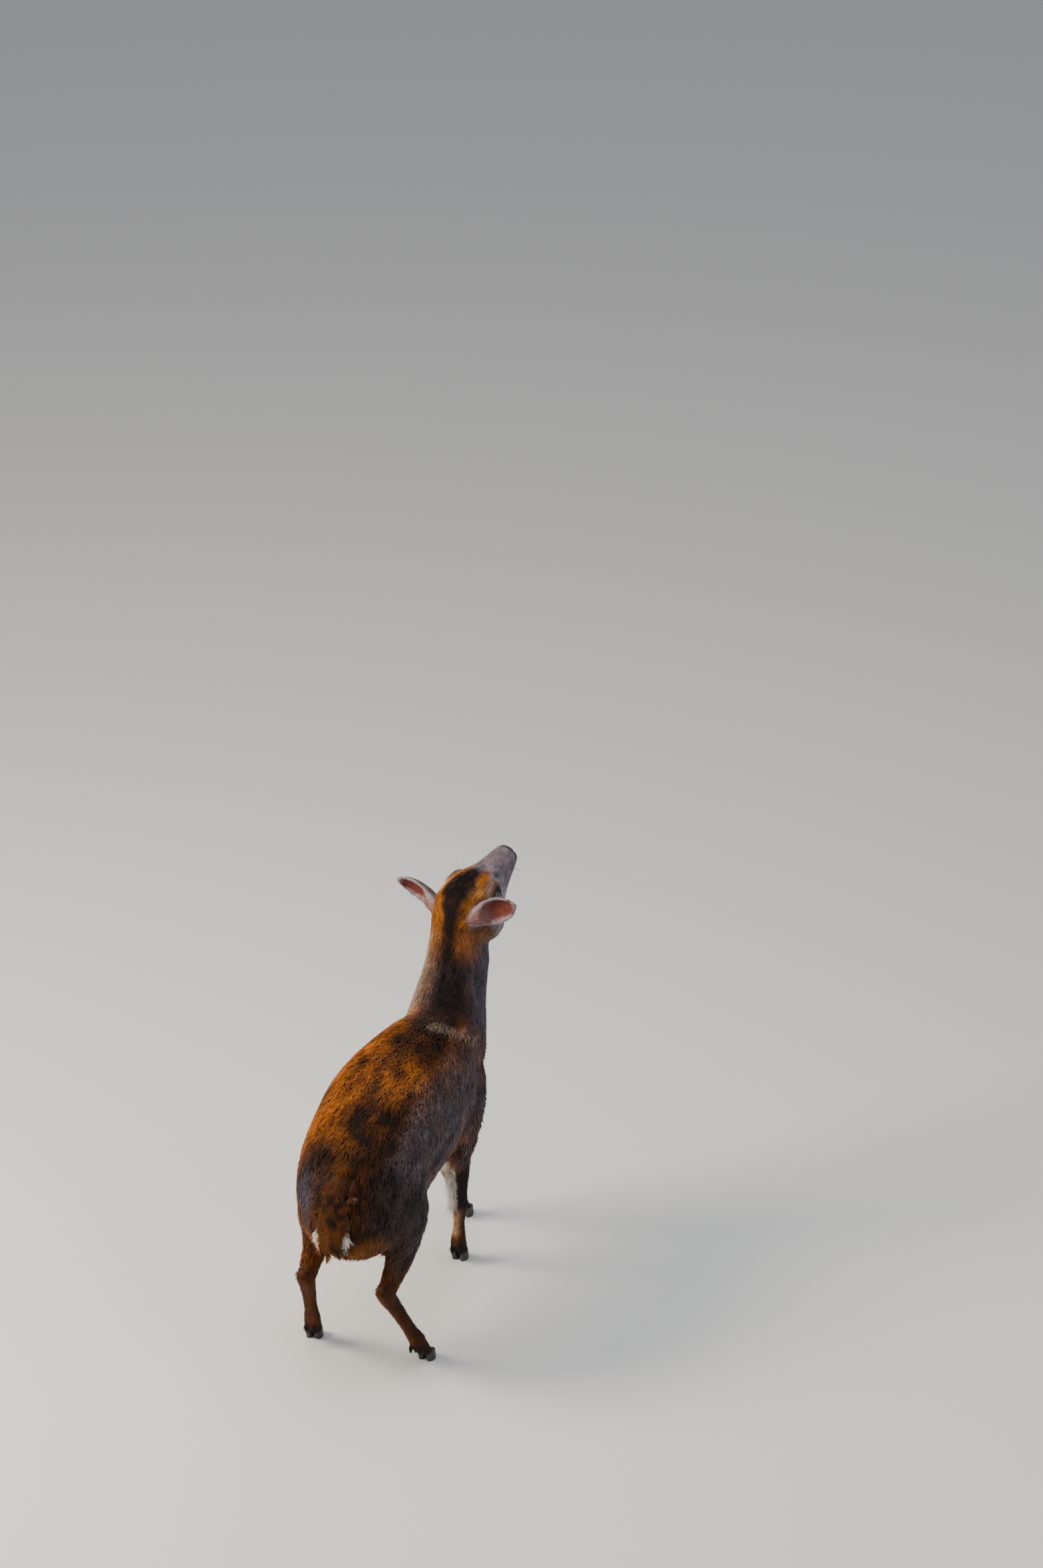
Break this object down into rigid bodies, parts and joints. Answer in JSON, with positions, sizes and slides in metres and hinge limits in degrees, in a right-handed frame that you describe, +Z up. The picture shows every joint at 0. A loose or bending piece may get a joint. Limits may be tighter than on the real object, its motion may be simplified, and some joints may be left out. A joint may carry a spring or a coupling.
{
  "type": "muntjac doe model",
  "caption": "Life-size still model of a muntjac doe stepping away on crouched hind legs, neck raised, nose lifted to its right, ears held out sideways.",
  "frame": {"origin": "middle of the box's footprint, on the floor under the hooves", "axes": "+Z up; the doe's body faces -Y; its left side is +X"},
  "size_m": [0.2044, 0.6318, 0.6031],
  "materials": {
    "coat": "short dense deer hair, ginger chestnut above, grey-brown on flanks and neck, pale below",
    "tail_coat": "long dark chestnut hair with a white fringe",
    "ear_coat": "thin hair over skin, brown outside, pale hair at the rim",
    "hoof_horn": "near-black horn, satin, lightly worn",
    "nose_skin": "moist dark pebbled skin",
    "eye": "wet, near-black, glossy"
  },
  "bodies": {
    "root": {"torso": "coat", "neck": "coat", "head": "coat", "lower_jaw": "coat", "nose_pad": "nose_skin", "eye_left": "eye", "eye_right": "eye", "hind_left_thigh": "coat", "hind_left_shank": "coat", "hind_left_cannon": "coat", "hind_left_pastern": "coat", "hind_left_hoof_outer": "hoof_horn", "hind_left_hoof_inner": "hoof_horn", "hind_right_thigh": "coat", "hind_right_shank": "coat", "hind_right_cannon": "coat", "hind_right_pastern": "coat", "hind_right_hoof_outer": "hoof_horn", "hind_right_hoof_inner": "hoof_horn", "fore_left_upper_arm": "coat", "fore_left_forearm": "coat", "fore_left_cannon": "coat", "fore_left_pastern": "coat", "fore_left_hoof_outer": "hoof_horn", "fore_left_hoof_inner": "hoof_horn", "fore_right_upper_arm": "coat", "fore_right_forearm": "coat", "fore_right_cannon": "coat", "fore_right_pastern": "coat", "fore_right_hoof_outer": "hoof_horn", "fore_right_hoof_inner": "hoof_horn", "ear_left": "ear_coat", "ear_right": "ear_coat", "tail": "tail_coat"}
  },
  "joints": []
}
